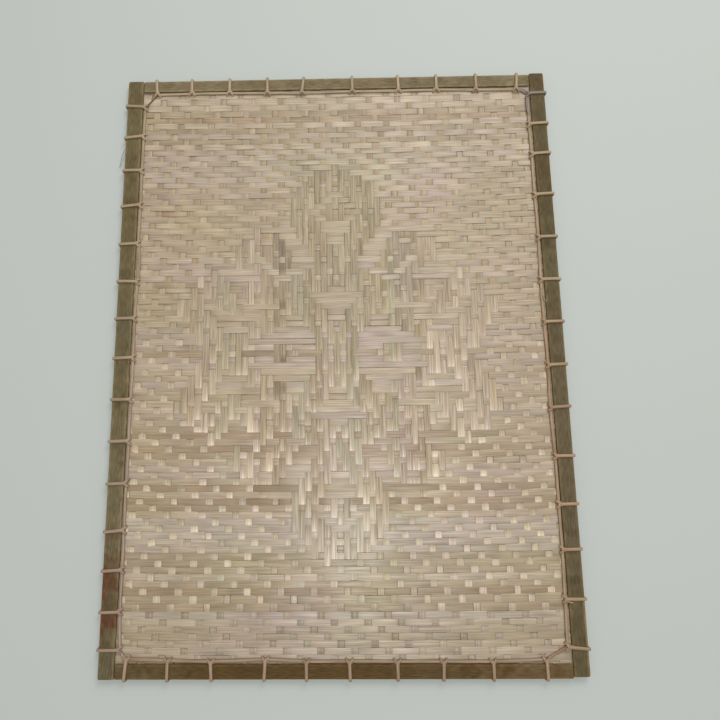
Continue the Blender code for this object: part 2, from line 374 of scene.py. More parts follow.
# %% Tint a splint by its place
ACROSS, ALONG, BOTH = 0, 1, 2
SHARED_TINTS = (  # which splints, middle x and y, reach in x and y in mm, tint, strength
    (ALONG, -1, 98, 46, 56, (0.625, 0.525, 0.35), 0.75), (ACROSS, -1, 98, 40, 46, (0.64, 0.535, 0.36), 0.6),
    (ALONG, 5, 28, 34, 50, (0.615, 0.53, 0.37), 0.6), (ALONG, 15, -62, 34, 38, (0.71, 0.625, 0.495), 0.45),
    (BOTH, 6, -122, 30, 40, (0.77, 0.68, 0.54), 0.5), (ALONG, 74, -18, 20, 42, (0.82, 0.69, 0.55), 0.6),
    (ALONG, 49, 56, 12, 46, (0.5, 0.44, 0.325), 0.5), (ALONG, -42, 58, 12, 44, (0.48, 0.39, 0.28), 0.4),
    (ACROSS, 122, 20, 46, 150, (0.62, 0.505, 0.36), 0.35), (ALONG, 110, 120, 60, 110, (0.64, 0.53, 0.39), 0.3),
    (ALONG, -100, 20, 60, 120, (0.66, 0.55, 0.4), 0.3), (ACROSS, -1, 38, 34, 16, (0.6, 0.485, 0.345), 0.7),
    (ACROSS, 112, 116, 40, 34, (0.62, 0.515, 0.36), 0.55),
)
RUST, DARK, RED_STREAK = (0.42, 0.29, 0.17), (0.3, 0.235, 0.165), (0.5, 0.31, 0.2)
STAINS = (  # which splints, the splint's number, from and to along it in mm, tint, strength
    (ALONG, -9, 58, 84, DARK, 0.75), (ALONG, -9, 28, 40, DARK, 0.7), (ALONG, -9, -11, -1, DARK, 0.85),
    (ALONG, -9, -33, -20, DARK, 0.7), (ALONG, -9, -74, -66, RUST, 0.7), (ALONG, -10, -30, -5, DARK, 0.35),
    (ALONG, -8, 50, 70, DARK, 0.3), (ALONG, 13, -40, -10, DARK, 0.3), (ACROSS, 23, -70, -38, RUST, 0.75),
    (ACROSS, 23, -15, -7, RUST, 0.8), (ACROSS, 23, 7, 24, RUST, 0.8), (ACROSS, 23, 32, 64, RUST, 0.75),
    (ACROSS, 13, -62, -20, RUST, 0.55), (ACROSS, 15, -60, -34, RUST, 0.5), (ACROSS, 15, 44, 66, RUST, 0.4),
    (ACROSS, 13, 26, 52, RUST, 0.25), (ACROSS, -24, -131, -116, RED_STREAK, 0.85),
    (ACROSS, -12, -131, -116, RUST, 0.5), (ACROSS, -12, -109, -98, RUST, 0.5), (ACROSS, 36, -76, -60, DARK, 0.5),
    (ACROSS, 0, -60, -30, DARK, 0.3),
)
PATCH_LENGTH, PATCH_DEPTH = 0.012, 0.16  # m, and a share of the tone
ZONE_TILT = (0.02, -0.03, 0.09)  # how far a cloud of tint moves red, green and blue
ZONE_EDGE, STAIN_EDGE = 2.5, 2  # how steeply a zone sets in, and the mm over which a stain does


def blended(colour, other, share):
    return [a + (b - a) * share for a, b in zip(colour, other)]


def patched(tone, number, axis, middle):
    """The splint's tone at this place along it. axis is ACROSS or ALONG."""
    patch = noise.noise(Vector((number * 7.3, middle[axis] / PATCH_LENGTH, axis * 5)))
    zone = noise.noise(Vector((middle.x / 0.05, middle.y / 0.04, 3 + axis * 5)))
    tilts = (1 + tilt * zone for tilt in ZONE_TILT)
    tone = [value * (1 + PATCH_DEPTH * patch) * tilt for value, tilt in zip(tone, tilts)]
    for on_axis, x, y, reach_x, reach_y, tint, share in SHARED_TINTS:
        inside = 1 - math.hypot((middle.x / MM - x) / reach_x, (middle.y / MM - y) / reach_y)
        if inside > 0 and on_axis in (axis, BOTH):
            tone = blended(tone, tint, share * min(inside * ZONE_EDGE, 1))
    for on_axis, which, first, last, stain, share in STAINS:
        if on_axis == axis and which == number:
            share *= min(max((middle[axis] / MM - first) / STAIN_EDGE, 0), 1)
            share *= min(max((last - middle[axis] / MM) / STAIN_EDGE, 0), 1)
            tone = blended(tone, stain, share)
    return tone


print(len(SHARED_TINTS), "zones and", len(STAINS), "stains")

# %% [markdown]
# ## A splint along the mat
#
# The lengthwise splints show their waxy skin. Part of its sheen comes from the lamp and part is painted into
# the tone: painted lighter across the near middle of the mat and darker towards both ends, with a pale, bluish
# painted highlight where a float ends towards the viewer and painted shade where it ends away from the viewer.
# A tie is a float over one row only. The far ties get a warm painted shade, and those next to the near slat a
# greyish one.

# %% Weave a splint along the mat
SPLINT_OUTLINE = (
    (-0.5, 0.0), (-0.49, -0.45), (0.49, -0.45), (0.5, 0.0), (0.492, 0.36), (0.47, 0.5),
    (-0.47, 0.5), (-0.492, 0.36),
)
ARCH_ALONG, WANDER_ALONG, SNUG = 0.8, 0.3 * MM, 1.03
# Painted sheen: the lengthwise splints are painted lighter across the near middle of the mat and darker towards
# its ends.
PAINTED_SKIN_SHEEN = ((-210, -169, -164, -120, -50, 20, 110, 210), (0.86, 0.88, 1.05, 1.1, 1.05, 1.0, 0.93, 0.88))
# Painted highlight, pale and bluish, where a float ends towards the viewer, weaker on ties.
PAINTED_END_SHEEN = ((-210, -170, -150, -60, 0, 60), (0.1, 0.15, 0.38, 0.38, 0.3, 0.11))  # places in mm, and how much
END_SHEEN_TINT, PAINTED_END_REACH, TIE_END_SHEEN = (1.0, 1.04, 1.35), 0.8, 0.55
# Painted shade where a float ends away from the viewer.
FAR_END_SHADE, TIE_STREAKS = 0.1, 0.6
# Painted shade on the ties: warm on the far ones, greyish next to the near slat.
FAR_TIE_SHADE, FAR_TIE_SHADE_FROM = (0.975, 0.93, 0.86), 20 * MM
NEAR_TIE_SHADE, NEAR_TIE_SHADE_TO = (0.88, 0.86, 0.84), -165 * MM


def painted_sheen_and_shade(y, own, near, single):
    """The painted sheen on a float's three colours here, or a tie's painted shade. A lighter float gets more."""
    if single and y < NEAR_TIE_SHADE_TO:
        return NEAR_TIE_SHADE
    if single and y > FAR_TIE_SHADE_FROM:
        return FAR_TIE_SHADE
    sheen_share = min(max((own - 0.93) / 0.09, 0.2), 1.25)
    end_sheen = np.interp(y / MM, *PAINTED_END_SHEEN) * math.exp(-near / PAINTED_END_REACH) * sheen_share
    end_sheen *= TIE_END_SHEEN if single else 1
    return [1 + end_sheen * share for share in END_SHEEN_TINT]


def lengthwise_strip(bm, splint, tone):
    rows = sorted(row_y, key=row_y.get)
    ups = [1 if lengthwise_on_top(splint, row) else -1 for row in rows]
    rings = rings_of(ups, [row_y[row] for row in rows], (-PANEL_Y, PANEL_Y), ARCH_ALONG)
    stations, tones = [], []
    for y, height, roll, fill, own, near, far in rings:
        width = (splint_place(splint + 1, y) - splint_place(splint - 1, y)) / 2 * fill
        x = splint_place(splint, y) + wander(splint, y, WANDER_ALONG)
        middle = Vector((x, y, PANEL_MIDDLE + height * WEAVE_RISE))
        sideways = Vector((math.cos(roll), 0, math.sin(roll)))
        upward = Vector((-math.sin(roll), 0, math.cos(roll)))
        stations.append((middle, sideways * width * SNUG, upward * SPLINT_THICK))
        single = near + far < 1.5  # a tie's two ends are one crossing apart
        light = own * np.interp(y / MM, *PAINTED_SKIN_SHEEN)
        light *= 1 - FAR_END_SHADE * math.exp(-far / PAINTED_END_REACH)
        colour = zip(patched(tone, splint, ALONG, middle), painted_sheen_and_shade(y, own, near, single))
        tones.append((*(value * light * more for value, more in colour), TIE_STREAKS if single else 1.0))
    strand(bm, stations, SPLINT_OUTLINE, tones, offset=splint * 0.037)


print("a lengthwise splint is about", round(SPLINT_PITCH * FILL * SNUG / MM, 2), "mm wide")

# %% [markdown]
# ## A splint across the mat
#
# The crosswise splints get no painted sheen, and painted shade darkens them, most towards the near end; fewer
# fibres show. They lie flatter, bow a little towards the sides, and have painted shade where they dive. They
# could have a tool of their own, but the same bending and tinting serve them, with x in the place of y.

# %% Weave a splint across the mat
ARCH_ACROSS, WANDER_ACROSS, ROW_BOW = 0.35, 0.6 * MM, 1.2 * MM
FIRST_PITCH, LAST_PITCH, SNUG_TO = 4.6 * MM, 4.3 * MM, -20 * MM
# Painted shade: the rows are darker towards the near end.
ROW_PAINTED_SHADE = ((-210, -160, -110, 20, 210), (0.84, 0.87, 0.93, 0.92, 0.93))
# Painted shade where a crosswise float dives, stronger in the far half.
DIVE_SHADE, DIVE_SHADE_REACH = ((-210, -20, 40, 210), (0.03, 0.05, 0.13, 0.15)), 0.55
ROW_STREAKS = 0.72


def crosswise_strip(bm, row, tone):
    y = row_y[row]
    ups = [-1 if lengthwise_on_top(splint, row) else 1 for splint in splints]
    rings = rings_of(ups, [splint_place(splint, y) for splint in splints], (-PANEL_X, PANEL_X), ARCH_ACROSS)
    width = (row_y.get(row - 1, y + FIRST_PITCH) - row_y.get(row + 1, y - LAST_PITCH)) / 2
    snug = SNUG if y < SNUG_TO else 1.0
    light = np.interp(y / MM, *ROW_PAINTED_SHADE)
    stations, tones = [], []
    for x, height, roll, fill, own, before, after in rings:
        bow = ROW_BOW * abs(x / PANEL_X) ** 3
        middle = Vector((x, y + bow + wander(row + 0.5, x, WANDER_ACROSS), PANEL_MIDDLE + height * WEAVE_RISE))
        sideways = Vector((0, -math.cos(roll), math.sin(roll)))
        upward = Vector((0, math.sin(roll), math.cos(roll)))
        stations.append((middle, sideways * width * fill * snug, upward * SPLINT_THICK))
        own *= light * (1 - np.interp(y / MM, *DIVE_SHADE) * math.exp(-min(before, after) / DIVE_SHADE_REACH))
        tones.append((*(value * own for value in patched(tone, row, ACROSS, middle)), ROW_STREAKS))
    strand(bm, stations, SPLINT_OUTLINE, tones, offset=row * 0.041 + 3)


print("the middle row is about", round((row_y[-1] - row_y[1]) / 2 * FILL / MM, 2), "mm wide")

# %% [markdown]
# ## The colour of split bamboo
#
# Each splint has its own tint, from yellow-green to pinkish straw, and fine fibres along its length. The
# fibre is a noise that is stretched along the strip by its own map, in a node group that all three finishes
# share. A photo of fibres would repeat, and would have to be cut to each strip.

# %% Build the fibre group
def fibre_group():
    group = bpy.data.node_groups.new("fibre", "ShaderNodeTree")
    sockets = group.interface
    for name, value in (("Across", 1500.0), ("Along", 50.0)):
        sockets.new_socket(name, in_out="INPUT", socket_type="NodeSocketFloat").default_value = value
    sockets.new_socket("Streak", in_out="OUTPUT", socket_type="NodeSocketFloat")
    add, link = group.nodes.new, group.links.new
    start, end = add("NodeGroupInput"), add("NodeGroupOutput")
    uv = add("ShaderNodeUVMap")
    uv.uv_map = "fibre"
    split = add("ShaderNodeSeparateXYZ")
    link(uv.outputs["UV"], split.inputs[0])
    join = add("ShaderNodeCombineXYZ")
    for axis, name in (("X", "Across"), ("Y", "Along")):
        times = add("ShaderNodeMath")
        times.operation = "MULTIPLY"
        link(split.outputs[axis], times.inputs[0])
        link(start.outputs[name], times.inputs[1])
        link(times.outputs[0], join.inputs[axis])
    streak = add("ShaderNodeTexNoise")
    streak.inputs["Scale"].default_value = 1.0
    streak.inputs["Detail"].default_value = 3.0
    link(join.outputs[0], streak.inputs["Vector"])
    around = add("ShaderNodeMapRange")
    around.inputs["From Min"].default_value = 0.3
    around.inputs["From Max"].default_value = 0.7
    link(streak.outputs[0], around.inputs["Value"])
    link(around.outputs[0], end.inputs["Streak"])
    return group


FIBRE = fibre_group()
print("fibre group with", len(FIBRE.nodes), "nodes")


def add_fibre(material, across, along):
    node = material.node_tree.nodes.new("ShaderNodeGroup")
    node.node_tree = FIBRE
    node.inputs["Across"].default_value, node.inputs["Along"].default_value = across, along
    return node.outputs["Streak"]


def darkened(material, factor, colour, dark):
    """The colour multiplied by a dark one, as far as the factor says."""
    node = material.node_tree.nodes.new("ShaderNodeMix")
    node.data_type, node.blend_type = "RGBA", "MULTIPLY"
    material.node_tree.links.new(factor, node.inputs[0])
    material.node_tree.links.new(colour, node.inputs[6])
    node.inputs[7].default_value = (*dark, 1)
    return node.outputs[2]


def roughened(material, streak, low, high, strength, height):
    """Roughness and relief that follow the fibre."""
    tree, shader = material.node_tree, shader_of(material)
    rough = tree.nodes.new("ShaderNodeMapRange")
    rough.inputs["To Min"].default_value, rough.inputs["To Max"].default_value = low, high
    tree.links.new(streak, rough.inputs["Value"])
    tree.links.new(rough.outputs[0], shader.inputs["Roughness"])
    bump = tree.nodes.new("ShaderNodeBump")
    bump.inputs["Strength"].default_value, bump.inputs["Distance"].default_value = strength, height
    tree.links.new(streak, bump.inputs["Height"])
    tree.links.new(bump.outputs[0], shader.inputs["Normal"])


# %% [markdown]
# ## The splints' finish
#
# A bare splint has a silky sheen that runs along its fibres. Roughness alone would shine the same from every
# side, so the shader is anisotropic, and the strip's own map tells it where the fibre runs. The streaks
# darken the tone by the strength that each ring carries.

# %% Mix the splints' finish
def splint_material(name):
    material = plain_material(name, (0.5, 0.4, 0.28), 0.5)
    tree, shader = material.node_tree, shader_of(material)
    tone = tree.nodes.new("ShaderNodeAttribute")
    tone.attribute_name = "tone"
    fine = add_fibre(material, 1150, 32)
    broad = add_fibre(material, 260, 35)
    strength = tree.nodes.new("ShaderNodeMath")
    strength.operation = "MULTIPLY"
    tree.links.new(fine, strength.inputs[0])
    tree.links.new(tone.outputs["Alpha"], strength.inputs[1])
    colour = darkened(material, strength.outputs[0], tone.outputs["Color"], (0.5, 0.455, 0.4))
    colour = darkened(material, broad, colour, (0.95, 0.91, 0.87))
    tree.links.new(colour, shader.inputs["Base Color"])
    roughened(material, fine, 0.36, 0.5, 0.5, 0.06 * MM)
    tangent = tree.nodes.new("ShaderNodeTangent")
    tangent.direction_type, tangent.uv_map = "UV_MAP", "fibre"
    tree.links.new(tangent.outputs[0], shader.inputs["Tangent"])
    shader.inputs["Anisotropic"].default_value = 0.85
    return material


straw = splint_material("split_bamboo")
print(straw.name, len(straw.node_tree.nodes), "nodes")

# %% [markdown]
# ## The panel
#
# The weaver took splints as they came, so a row is pinkish, greyish, olive or brown over its whole length.
# Pure chance would put the brown rows anywhere, so two tables name the rows and the splints that stand out,
# and the rest are straw. The panel is four pieces, because one piece of so many strips would be too heavy.

# %% Lay all the splints
STRAW = (0.68, 0.555, 0.395)
TINTS = {
    "PALE": (0.76, 0.635, 0.485), "GREYISH": (0.695, 0.59, 0.48), "PINK": (0.675, 0.55, 0.445),
    "GREEN": (0.6, 0.545, 0.39), "OLIVE": (0.585, 0.475, 0.32), "BROWN": (0.535, 0.4, 0.255),
}
ROW_TINTS = {
    "PALE": (-45, -44, -43, -40, -36, -33, -16, -14, 9, 34, 40, 44),
    "GREYISH": (-38, -34, -32, -31, -30, 26, 27, 28, 29, 30, 39),
    "PINK": (-35, -29, -27, -15, -13, -4, -3, -2, -1, 1, 2, 5, 10, 18, 19),
    "OLIVE": (-42, -39, -37, 7, 12, 31, 32, 33, 35, 37, 42, 46, 47),
    "BROWN": (-41, 0, 13, 15, 16, 21, 23, 24, 36, 38),
}
SPLINT_TINTS = {
    "PALE": (-22, -20, -14, 12, 15, 16, 19, 20, 22),
    "PINK": (-21, -15, -13, -2, -1, 10, 11, 17, 21, 23),
    "GREEN": (-19, -18, -17, -16, -7, -6, -5, 0, 1, 2, 3, 9),
    "OLIVE": (-24, -12, -10, -9, -4, -3, 5, 6, 8, 13),
    "BROWN": (-23,),
}
ROW_TINT_BOOST = 0.12


def splint_tone(table, number):
    """The splint's tint from the table, or straw, a little lighter or darker at random."""
    tint = next((TINTS[name] for name, numbers in table.items() if number in numbers), STRAW)
    share, light = rng.uniform(0.5, 0.85), rng.uniform(0.95, 1.05)
    if table is ROW_TINTS:
        share += ROW_TINT_BOOST
    return tuple(value * light for value in blended(STRAW, tint, share))


for name, numbers, weave, table in (
    ("splints_along_left", range(FIRST_SPLINT, 0), lengthwise_strip, SPLINT_TINTS),
    ("splints_along_right", range(0, LAST_SPLINT + 1), lengthwise_strip, SPLINT_TINTS),
    ("splints_across_far", range(FIRST_ROW, 0), crosswise_strip, ROW_TINTS),
    ("splints_across_near", range(0, LAST_ROW + 1), crosswise_strip, ROW_TINTS),
):
    bm = new_shape()
    for number in numbers:
        weave(bm, number, splint_tone(table, number))
    piece = finished(name, bm, straw)
    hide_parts("woven_panel")

# %% [markdown]
# ## The four sides
#
# The slats and the cane are set out as a maker would measure them: each side is described as if it were the
# far one, with u along it and v outward, and is then turned to its place. Each side could have code of its
# own, but tables keep what differs. They give, in millimetres, each slat's width at its two ends, and for
# each stitch its distance from the corner, its lean and the run's distance from the slat.

# %% Measure the sides
ORDER = ("top", "right", "bottom", "left")
SIDES = {
    "top": dict(turn=0, outer=(0.0, 0.7), width=(8.6, 9.0), short=None),
    "right": dict(turn=-90, outer=(0.0, 0.0), width=(10.4, 10.0), short=(0.0, 1.2)),
    "bottom": dict(turn=180, outer=(0.0, 0.0), width=(8.6, 9.2), short=None),
    "left": dict(turn=90, outer=(0.0, 0.0), width=(10.4, 11.4), short=(0.0, 0.0)),
}
STITCHES = {
    "top": dict(
        at=(22.1, 48.0, 76.4, 104.6, 130.5, 168.0, 202.3, 230.5, 259.8, 289.5),
        lean=(-0.8, 0.0, 0.0, 0.0, 1.3, 0.0, -0.3, 0.0, 0.0, 0.7),
        run=(1.8, 1.4, 1.4, 1.9, 2.2, 1.7, 1.9, 1.5, 2.1, 2.3),
    ),
    "right": dict(
        at=(16.4, 41.0, 64.8, 96.4, 128.6, 159.8, 190.4, 220.7, 249.8, 282.2, 313.5, 342.1, 372.5, 401.1),
        lean=(-0.3, -0.5, -0.7, -0.5, -0.3, 0.0, -0.2, -0.5, -0.8, -0.2, -0.3, -0.3, 0.0, 1.3),
        run=(1.6, 2.2, 2.0, 2.0, 1.6, 2.2, 2.0, 1.6, 2.2, 1.4, 1.4, 1.4, 1.9, 2.6),
    ),
    "bottom": dict(
        at=(26.6, 59.9, 90.9, 119.9, 150.2, 177.4, 203.5, 238.2, 265.6, 292.1),
        lean=(0.0, 0.0, 0.4, 0.0, -0.3, 0.0, 0.6, -0.7, 0.0, 0.8),
        run=(2.6, 1.4, 1.4, 1.4, 1.5, 1.4, 2.6, 1.4, 2.1, 3.0),
    ),
    "left": dict(
        at=(17.7, 40.8, 66.8, 91.9, 122.4, 150.5, 178.7, 208.0, 236.1, 262.8, 291.4, 320.9, 347.8, 375.1, 398.9),
        lean=(0.0, -0.3, -0.8, -1.0, -0.5, -0.3, 0.0, -0.5, -0.3, 0.3, -0.7, -1.3, 0.0, -1.3, 0.8),
        run=(2.6, 1.5, 1.6, 1.5, 1.4, 1.6, 1.6, 1.9, 1.4, 2.2, 1.4, 1.5, 1.4, 1.4, 1.7),
    ),
}
print({side: len(table["at"]) for side, table in STITCHES.items()}, "stitches")

# %% Set out a side
SLAT_BOTTOM, SLAT_TOP = 3.0 * MM, 5.0 * MM
BUTT_SLIT = 0.5 * MM


def half_sizes(side):
    along, across = (MAT_WIDTH, MAT_LENGTH) if side in ("top", "bottom") else (MAT_LENGTH, MAT_WIDTH)
    return along / 2, across / 2


def turned(side):
    return Matrix.Rotation(math.radians(SIDES[side]["turn"]), 4, "Z")


def between(side, values, u):
    half, _ = half_sizes(side)
    return (values[0] + (values[1] - values[0]) * (u + half) / (2 * half)) * MM


def outer_edge(side, u):
    return half_sizes(side)[1] - between(side, SIDES[side]["outer"], u)


def inner_edge(side, u):
    return outer_edge(side, u) - between(side, SIDES[side]["width"], u)


def stitches(side):
    """Each stitch's u, its lean and its run's v."""
    table, (half, _) = STITCHES[side], half_sizes(side)
    for at, lean, run in zip(table["at"], table["lean"], table["run"]):
        u = at * MM - half
        yield u, lean * MM, inner_edge(side, u) - run * MM


def next_side(side, step=1):
    return ORDER[(ORDER.index(side) + step) % 4]


def slat_ends(side):
    half, _ = half_sizes(side)
    if SIDES[side]["short"]:
        start, end = (short * MM for short in SIDES[side]["short"])
    else:
        start = SIDES[next_side(side, -1)]["width"][1] * MM + BUTT_SLIT
        end = SIDES[next_side(side)]["width"][0] * MM + BUTT_SLIT
    return start - half, half - end


for side in ORDER:
    print(side, "slat", round((slat_ends(side)[1] - slat_ends(side)[0]) / MM, 1), "mm long")

# %% [markdown]
# ## Slats and cane: the finishes
#
# The slats are old split bamboo with the dull olive skin left on, and the cane is tan and slightly polished.
# Both use the same fibre group as the splints, coarser on the slats. A wood grain made for boards would show
# rings, which bamboo hasn't. Blotches come from a broader helping of the same noise.

# %% Mix the slats' and the cane's finish
def fibrous_material(name, across, along, dark, rough, height, gloss):
    material = plain_material(name, (0.3, 0.25, 0.15), rough[0])
    tree, shader = material.node_tree, shader_of(material)
    tone = tree.nodes.new("ShaderNodeAttribute")
    tone.attribute_name = "tone"
    fine, blotch = add_fibre(material, across, along), add_fibre(material, across / 7, along / 2)
    colour = darkened(material, fine, tone.outputs["Color"], dark)
    colour = darkened(material, blotch, colour, tuple(0.5 + v / 2 for v in dark))
    tree.links.new(colour, shader.inputs["Base Color"])
    roughened(material, fine, *rough, 0.6, height)
    shader.inputs["Specular IOR Level"].default_value = gloss
    return material


bark = fibrous_material("olive_bamboo", 1300, 170, (0.6, 0.58, 0.5), (0.5, 0.65), 0.12 * MM, 0.18)
cane = fibrous_material("split_cane", 1800, 60, (0.66, 0.6, 0.52), (0.4, 0.5), 0.08 * MM, 0.4)
print(bark.name, cane.name)

# %% [markdown]
# ## The slats
#
# Each slat is a flat tapered bar with its upper edges pared off by a knife. A bevelled box would be too
# perfect, so its outline is carried along in short steps, and its edges and its face wander a little.

# %% Name the slats' tones and stains
SLAT_TONES = {
    "top": (0.295, 0.23, 0.134), "right": (0.166, 0.124, 0.058), "bottom": (0.142, 0.081, 0.02),
    "left": (0.22, 0.17, 0.085),
}
RED_BROWN, WARM_BROWN, GREY_GREEN = (0.18, 0.072, 0.032), (0.15, 0.095, 0.04), (0.2, 0.175, 0.1)
BARE = (0.34, 0.27, 0.16)
SLAT_STAINS = {  # middle and reach in mm along the side, tint, strength
    "top": ((215, 20, GREY_GREEN, 0.3), (285, 8, BARE, 0.8), (52, 20, BARE, 0.7)),
    "right": (
        (4, 10, WARM_BROWN, 0.8), (80, 17, WARM_BROWN, 0.8), (150, 12, GREY_GREEN, 0.5),
        (268, 105, (0.2, 0.15, 0.085), 1),
    ),
    "bottom": (
        (18, 60, (0.21, 0.13, 0.054), 1), (100, 26, (0.16, 0.1, 0.038), 0.6),
        (266, 24, (0.17, 0.105, 0.038), 0.9), (292, 14, GREY_GREEN, 0.35),
    ),
    "left": (
        (110, 60, (0.27, 0.22, 0.125), 0.7), (10, 12, GREY_GREEN, 0.6), (48, 30, (0.17, 0.115, 0.055), 0.8),
        (58, 9, RED_BROWN, 0.9), (35, 6, RED_BROWN, 0.9), (73, 4, RED_BROWN, 0.5), (88, 4, RED_BROWN, 0.5),
        (230, 30, GREY_GREEN, 0.4), (320, 12, WARM_BROWN, 0.35),
    ),
}
WORN_FROM, WORN_OUTWARD, WORN_LIGHT = 372, -0.4, 1.5  # where the right slat is worn pale


def slat_tone(side, u, across):
    """The slat's tone at this place, mottled and with its stains."""
    at = (u + half_sizes(side)[0]) / MM
    mottle = noise.noise(Vector((at / 7, ORDER.index(side) * 3.1, 0.5)))
    light = 1 + 0.16 * mottle + 0.1 * noise.noise(Vector((at / 9, across * 3, 7.5)))
    tone = [value * light for value in SLAT_TONES[side]]
    edge = noise.noise(Vector((at / 4, across * 2.5, 2.5)))
    for middle, reach, stain, share in SLAT_STAINS[side]:
        inside = 1.6 * (1 - abs(at - middle) / reach) + 1.7 * edge - 0.8 * across
        tone = blended(tone, stain, share * min(max(inside, 0), 1))
    if side == "right" and at > WORN_FROM and across < WORN_OUTWARD:
        tone = [value * WORN_LIGHT for value in tone]
    return tuple(tone)


print(sum(len(stains) for stains in SLAT_STAINS.values()), "stains on the slats")

# %% Shave the slats
SLAT_OUTLINE = (
    (-0.5, -0.44), (-0.49, -0.5), (0.49, -0.5), (0.5, -0.44), (0.5, 0.22), (0.482, 0.31), (0.42, 0.45),
    (0.34, 0.5), (0.17, 0.5), (0, 0.5), (-0.17, 0.5), (-0.34, 0.5), (-0.42, 0.45), (-0.482, 0.31), (-0.5, 0.22),
)
# Painted light round the slat's outline: painted shade on its underside and painted highlights on its pared upper
# edges.
SLAT_SHADE_AND_HIGHLIGHT = (0.7, 0.7, 0.7, 0.7, 1.1, 1.35, 1.25, 1.0, 0.97, 0.95, 0.97, 1.0, 1.3, 1.4, 1.1)
SLAT_STEP, EDGE_STRAY, FACE_STRAY, END_SHAVE = 1.5 * MM, 0.12 * MM, 0.04 * MM, 0.96

for side in ORDER:
    start, end = slat_ends(side)
    steps = round((end - start) / SLAT_STEP)
    stations = []
    for step in range(steps + 1):
        u = start + (end - start) * step / steps
        stray = [noise.noise(Vector((u / 0.03, k, ORDER.index(side) * 4.0))) for k in (1, 2, 3)]
        inner = inner_edge(side, u) + EDGE_STRAY * stray[0]
        outer = outer_edge(side, u) - EDGE_STRAY * abs(stray[1])
        shave = END_SHAVE if step in (0, steps) else 1.0
        middle = Vector((u, (inner + outer) / 2, (SLAT_BOTTOM + SLAT_TOP) / 2 - FACE_STRAY * abs(stray[2])))
        sideways = Vector((0, (inner - outer) * shave, 0))
        upward = Vector((0, 0, (SLAT_TOP - SLAT_BOTTOM) * shave))
        stations.append((middle, sideways, upward))
    bm = new_shape()
    tones = [[slat_tone(side, station[0].x, across) for across, _ in SLAT_OUTLINE] for station in stations]
    strand(bm, stations, SLAT_OUTLINE, tones, offset=ORDER.index(side) * 0.31, shade=SLAT_SHADE_AND_HIGHLIGHT)
    bm.transform(turned(side))
    piece = finished("shaved_slat_" + side, bm, bark)
    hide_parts("slat_" + side)

# %% [markdown]
# ## The cane
#
# One length of cane a side runs along the slat on the panel. It is split from a round stem, so its outer
# face is domed and its back is flat. A round tube would be simpler, but the cane catches the light on its
# dome. Its tone changes along the side, and a few second runs and loose ends are thinner or darker than the
# rest.

# %% Name the cane's sizes and tones
CANE_OUTLINE = (
    (-0.5, -0.08), (-0.4, -0.46), (-0.15, -0.5), (0.15, -0.5), (0.4, -0.46), (0.5, -0.08), (0.4, 0.3),
    (0.15, 0.5), (-0.15, 0.5), (-0.4, 0.3),
)
CANE_WIDTH, CANE_THICK, GAP = 2.1 * MM, 1.2 * MM, 0.3 * MM
MAT_TOP = 6.5 * MM
RUN_LEVEL = SLAT_BOTTOM + CANE_THICK / 2
# Painted light round the cane's outline: painted shade on its flat back and a slight painted highlight on its
# dome.
CANE_SHADE_AND_HIGHLIGHT = (0.75, 0.5, 0.45, 0.45, 0.5, 0.75, 1.0, 1.08, 1.08, 1.0)
TAN, GREY, RED_TAN, THREAD = (0.5, 0.38, 0.27), (0.34, 0.27, 0.23), (0.4, 0.22, 0.13), (0.22, 0.16, 0.1)
CANE_TONES = {  # places along the side in mm, and the tone there
    "top": ((0, 310), ((0.56, 0.44, 0.3), (0.54, 0.42, 0.28))),
    "right": (
        (0, 24, 40, 170, 200, 420),
        (GREY, GREY, (0.54, 0.41, 0.27), (0.53, 0.39, 0.255), (0.5, 0.335, 0.205), (0.52, 0.375, 0.255)),
    ),
    "bottom": ((0, 310), ((0.45, 0.315, 0.215), (0.48, 0.345, 0.24))),
    "left": (
        (0, 120, 250, 420),
        ((0.46, 0.34, 0.25), (0.5, 0.37, 0.29), (0.52, 0.4, 0.28), (0.54, 0.42, 0.29)),
    ),
}
CORNER_CANE = {  # width in mm, tone, and how far it bulges outward in mm
    "top": (1.5, GREY, 0.6), "right": (1.5, RED_TAN, 0.0), "bottom": (2.0, (0.5, 0.36, 0.27), 0.6),
    "left": (0.8, THREAD, 0.0),
}
CORNER_STRANDS = {"top": 2}  # one on the other sides
SECOND_RUNS = {  # from and to along the side and how much further in, all in mm, and tone
    "left": ((262.8, 291.4, 1.9, TAN),), "right": ((16.4, 33.5, 1.7, GREY),),
}
WISPS = {  # places along the side, out from the slat's inner edge and up, then the width, all in mm, and tone
    "right": (
        (((373.6, -1.6, 5.2), (374.3, 0.3, 5.5), (374.9, 2.4, 5.5)), 1.1, (0.5, 0.36, 0.22)),
        (((166.0, -2.4, 4.5), (169.5, -3.6, 4.2), (172.5, -3.4, 3.6)), 0.5, TAN),
        (((171.0, -2.2, 4.5), (174.0, -1.0, 4.9), (176.5, 0.3, 5.1)), 0.5, TAN),
    ),
    "left": (
        (((122.2, -1.6, 4.6), (124.2, -3.2, 4.3), (125.4, -4.3, 3.6)), 0.8, THREAD),
        (((366.0, 10.4, 4.9), (361.0, 13.0, 5.2), (354.0, 14.4, 4.2), (351.5, 15.6, 2.2)), 0.35, THREAD),
    ),
    "top": ((((20.5, -1.2, 4.6), (18.2, -3.4, 4.3), (17.6, -5.6, 3.5)), 0.5, THREAD),),
}


def cane_tone(side, at, light=1.0):
    places, tones = CANE_TONES[side]
    return tuple(float(np.interp(at, places, channel)) * light for channel in zip(*tones))


def shaded(colour, light):
    return tuple(value * light for value in colour)


print(sum(len(wisps) for wisps in WISPS.values()), "loose ends")


